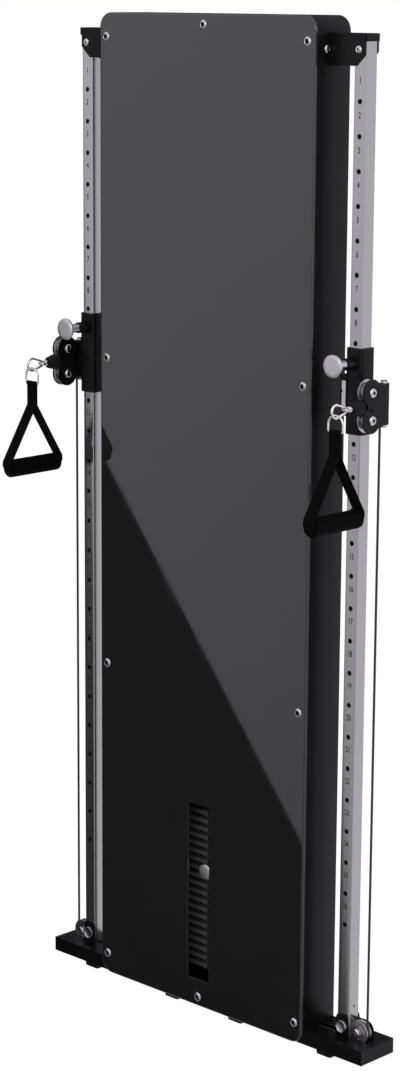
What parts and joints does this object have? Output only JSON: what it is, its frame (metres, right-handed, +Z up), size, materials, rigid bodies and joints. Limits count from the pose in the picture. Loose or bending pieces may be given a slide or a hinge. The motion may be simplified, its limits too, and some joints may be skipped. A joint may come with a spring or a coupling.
{
  "type": "wall pulley weight stack",
  "caption": "Slim black weight-stack tower between silver hole-row posts, each with a sliding swivel pulley carriage and a cable stirrup handle.",
  "frame": {"origin": "on the floor, at the middle of the overall width and depth", "axes": "+X to the right seen from the front, +Y towards the wall, +Z up"},
  "size_m": [0.8966, 0.2486, 2.062],
  "materials": {
    "black_paint": "semi-gloss powder coat",
    "gloss_panel": "gloss black",
    "silver_post": "satin silver",
    "bright_steel": "polished",
    "rod_steel": "ground",
    "plate_iron": "black paint",
    "rubber": "matt",
    "cable": "coated wire rope",
    "webbing": "woven black webbing",
    "foam": "foam rubber",
    "pulley": "turned nylon"
  },
  "bodies": {
    "frame": {"base_beam": "black_paint", "housing_shell": "black_paint", "front_panel": "gloss_panel", "back_panel": "black_paint", "top_crossmember": "black_paint", "resting_plates": "plate_iron", "lift_cable": "cable", "foot_outer_left": "rubber", "foot_inner_left": "rubber", "post_left": "silver_post", "top_bracket_left": "black_paint", "run_cable_left": "cable", "post_cable_left": "cable", "guide_rod_left": "rod_steel", "stack_bumper_left": "rubber", "foot_outer_right": "rubber", "foot_inner_right": "rubber", "post_right": "silver_post", "top_bracket_right": "black_paint", "run_cable_right": "cable", "post_cable_right": "cable", "guide_rod_right": "rod_steel", "stack_bumper_right": "rubber"},
    "lifted_stack": {"lifted_plates": "plate_iron", "selector_stem": "rod_steel"},
    "selector_pin": {"selector_pin": "bright_steel"},
    "floating_pulley": {"floating_pulley": "pulley"},
    "base_pulley_outer_left": {"base_pulley_outer_left": "pulley"},
    "base_pulley_inner_left": {"base_pulley_inner_left": "pulley"},
    "top_pulley_outer_left": {"top_pulley_outer_left": "pulley"},
    "top_pulley_inner_left": {"top_pulley_inner_left": "pulley"},
    "slider_left": {"carriage_left": "black_paint"},
    "pop_pin_left": {"pop_pin_left": "bright_steel"},
    "swivel_left": {"swivel_bracket_left": "black_paint", "bracket_cable_left": "cable", "stopper_left": "rubber"},
    "pulley_upper_left": {"pulley_upper_left": "pulley"},
    "pulley_lower_left": {"pulley_lower_left": "pulley"},
    "hook_left": {"snap_hook_left": "bright_steel"},
    "gate_left": {"gate_left": "bright_steel"},
    "handle_left": {"d_ring_left": "bright_steel", "strap_left": "webbing"},
    "grip_left": {"grip_left": "foam"},
    "base_pulley_outer_right": {"base_pulley_outer_right": "pulley"},
    "base_pulley_inner_right": {"base_pulley_inner_right": "pulley"},
    "top_pulley_outer_right": {"top_pulley_outer_right": "pulley"},
    "top_pulley_inner_right": {"top_pulley_inner_right": "pulley"},
    "slider_right": {"carriage_right": "black_paint"},
    "pop_pin_right": {"pop_pin_right": "bright_steel"},
    "swivel_right": {"swivel_bracket_right": "black_paint", "bracket_cable_right": "cable", "stopper_right": "rubber"},
    "pulley_upper_right": {"pulley_upper_right": "pulley"},
    "pulley_lower_right": {"pulley_lower_right": "pulley"},
    "hook_right": {"snap_hook_right": "bright_steel"},
    "gate_right": {"gate_right": "bright_steel"},
    "handle_right": {"d_ring_right": "bright_steel", "strap_right": "webbing"},
    "grip_right": {"grip_right": "foam"}
  },
  "joints": [
    {"name": "stack_lift", "type": "slide", "parent": "frame", "child": "lifted_stack", "axis": [0, 0, 1], "range_m": [0, 1.3], "deforming": ["lift_cable"]},
    {"name": "selector_pull", "type": "slide", "parent": "lifted_stack", "child": "selector_pin", "axis": [0, -1, 0], "range_m": [0, 0.011]},
    {"name": "floating_spin", "type": "hinge", "parent": "lifted_stack", "child": "floating_pulley", "pos_m": [0, 0.07335, 0.478], "axis": [0, 1, 0], "continuous": true},
    {"name": "base_pulley_outer_left_spin", "type": "hinge", "parent": "frame", "child": "base_pulley_outer_left", "pos_m": [-0.4036, 0.07335, 0.059], "axis": [0, 1, 0], "continuous": true},
    {"name": "base_pulley_inner_left_spin", "type": "hinge", "parent": "frame", "child": "base_pulley_inner_left", "pos_m": [-0.2605, 0.07335, 0.059], "axis": [0, 1, 0], "continuous": true},
    {"name": "top_pulley_outer_left_spin", "type": "hinge", "parent": "frame", "child": "top_pulley_outer_left", "pos_m": [-0.2235, 0.07335, 1.987], "axis": [0, 1, 0], "continuous": true},
    {"name": "top_pulley_inner_left_spin", "type": "hinge", "parent": "frame", "child": "top_pulley_inner_left", "pos_m": [-0.037, 0.07335, 1.987], "axis": [0, 1, 0], "continuous": true},
    {"name": "carriage_slide_left", "type": "slide", "parent": "frame", "child": "slider_left", "axis": [0, 0, 1], "range_m": [-1.0009, 0.4918], "deforming": ["post_cable_left"]},
    {"name": "pop_pin_pull_left", "type": "slide", "parent": "slider_left", "child": "pop_pin_left", "axis": [0, -1, 0], "range_m": [0, 0.01], "stiffness_N_per_m": 400, "springref_m": -0.02},
    {"name": "swivel_turn_left", "type": "hinge", "parent": "slider_left", "child": "swivel_left", "pos_m": [-0.4221, 0.08385, 1.3379], "axis": [0, 0, -1], "range_deg": [-15, 85]},
    {"name": "pulley_upper_left_spin", "type": "hinge", "parent": "swivel_left", "child": "pulley_upper_left", "pos_m": [-0.4221, 0.03835, 1.3644], "axis": [1, 0, 0], "continuous": true},
    {"name": "pulley_lower_left_spin", "type": "hinge", "parent": "swivel_left", "child": "pulley_lower_left", "pos_m": [-0.4221, 0.03835, 1.3114], "axis": [1, 0, 0], "continuous": true},
    {"name": "hook_lift_left", "type": "hinge", "parent": "swivel_left", "child": "hook_left", "pos_m": [-0.4221, -0.03165, 1.3379], "axis": [1, 0, 0], "range_deg": [-45, 0]},
    {"name": "gate_open_left", "type": "hinge", "parent": "hook_left", "child": "gate_left", "pos_m": [-0.4221, -0.03274, 1.34452], "axis": [1, 0, 0], "range_deg": [0, 30], "stiffness_Nm_per_rad": 0.02, "springref_deg": -22.92},
    {"name": "handle_swing_left", "type": "hinge", "parent": "hook_left", "child": "handle_left", "pos_m": [-0.4221, -0.05365, 1.3379], "axis": [1, 0, 0], "range_deg": [-80, 12]},
    {"name": "grip_spin_left", "type": "hinge", "parent": "handle_left", "child": "grip_left", "pos_m": [-0.4221, -0.05465, 1.1251], "axis": [0, 1, 0], "continuous": true},
    {"name": "base_pulley_outer_right_spin", "type": "hinge", "parent": "frame", "child": "base_pulley_outer_right", "pos_m": [0.4036, 0.07335, 0.059], "axis": [0, 1, 0], "continuous": true},
    {"name": "base_pulley_inner_right_spin", "type": "hinge", "parent": "frame", "child": "base_pulley_inner_right", "pos_m": [0.2605, 0.07335, 0.059], "axis": [0, 1, 0], "continuous": true},
    {"name": "top_pulley_outer_right_spin", "type": "hinge", "parent": "frame", "child": "top_pulley_outer_right", "pos_m": [0.2235, 0.07335, 1.987], "axis": [0, 1, 0], "continuous": true},
    {"name": "top_pulley_inner_right_spin", "type": "hinge", "parent": "frame", "child": "top_pulley_inner_right", "pos_m": [0.037, 0.07335, 1.987], "axis": [0, 1, 0], "continuous": true},
    {"name": "carriage_slide_right", "type": "slide", "parent": "frame", "child": "slider_right", "axis": [0, 0, 1], "range_m": [-1.0009, 0.4918], "deforming": ["post_cable_right"]},
    {"name": "pop_pin_pull_right", "type": "slide", "parent": "slider_right", "child": "pop_pin_right", "axis": [0, -1, 0], "range_m": [0, 0.01], "stiffness_N_per_m": 400, "springref_m": -0.02},
    {"name": "swivel_turn_right", "type": "hinge", "parent": "slider_right", "child": "swivel_right", "pos_m": [0.4221, 0.08385, 1.3379], "axis": [0, 0, 1], "range_deg": [-15, 85]},
    {"name": "pulley_upper_right_spin", "type": "hinge", "parent": "swivel_right", "child": "pulley_upper_right", "pos_m": [0.4221, 0.03835, 1.3644], "axis": [1, 0, 0], "continuous": true},
    {"name": "pulley_lower_right_spin", "type": "hinge", "parent": "swivel_right", "child": "pulley_lower_right", "pos_m": [0.4221, 0.03835, 1.3114], "axis": [1, 0, 0], "continuous": true},
    {"name": "hook_lift_right", "type": "hinge", "parent": "swivel_right", "child": "hook_right", "pos_m": [0.4221, -0.03165, 1.3379], "axis": [1, 0, 0], "range_deg": [-45, 0]},
    {"name": "gate_open_right", "type": "hinge", "parent": "hook_right", "child": "gate_right", "pos_m": [0.4221, -0.03274, 1.34452], "axis": [1, 0, 0], "range_deg": [0, 30], "stiffness_Nm_per_rad": 0.02, "springref_deg": -22.92},
    {"name": "handle_swing_right", "type": "hinge", "parent": "hook_right", "child": "handle_right", "pos_m": [0.4221, -0.05365, 1.3379], "axis": [1, 0, 0], "range_deg": [-80, 12]},
    {"name": "grip_spin_right", "type": "hinge", "parent": "handle_right", "child": "grip_right", "pos_m": [0.4221, -0.05465, 1.1251], "axis": [0, 1, 0], "continuous": true}
  ],
  "couplings": [
    {"joint": "base_pulley_outer_left_spin", "follows": "stack_lift", "rad_per_m": 54.054},
    {"joint": "base_pulley_inner_left_spin", "follows": "stack_lift", "rad_per_m": 54.054},
    {"joint": "top_pulley_outer_left_spin", "follows": "stack_lift", "rad_per_m": -54.054},
    {"joint": "top_pulley_inner_left_spin", "follows": "stack_lift", "rad_per_m": -54.054},
    {"joint": "pulley_lower_left_spin", "follows": "stack_lift", "rad_per_m": 54.054},
    {"joint": "base_pulley_outer_right_spin", "follows": "stack_lift", "rad_per_m": -54.054},
    {"joint": "base_pulley_inner_right_spin", "follows": "stack_lift", "rad_per_m": -54.054},
    {"joint": "top_pulley_outer_right_spin", "follows": "stack_lift", "rad_per_m": 54.054},
    {"joint": "top_pulley_inner_right_spin", "follows": "stack_lift", "rad_per_m": 54.054},
    {"joint": "pulley_lower_right_spin", "follows": "stack_lift", "rad_per_m": 54.054}
  ]
}
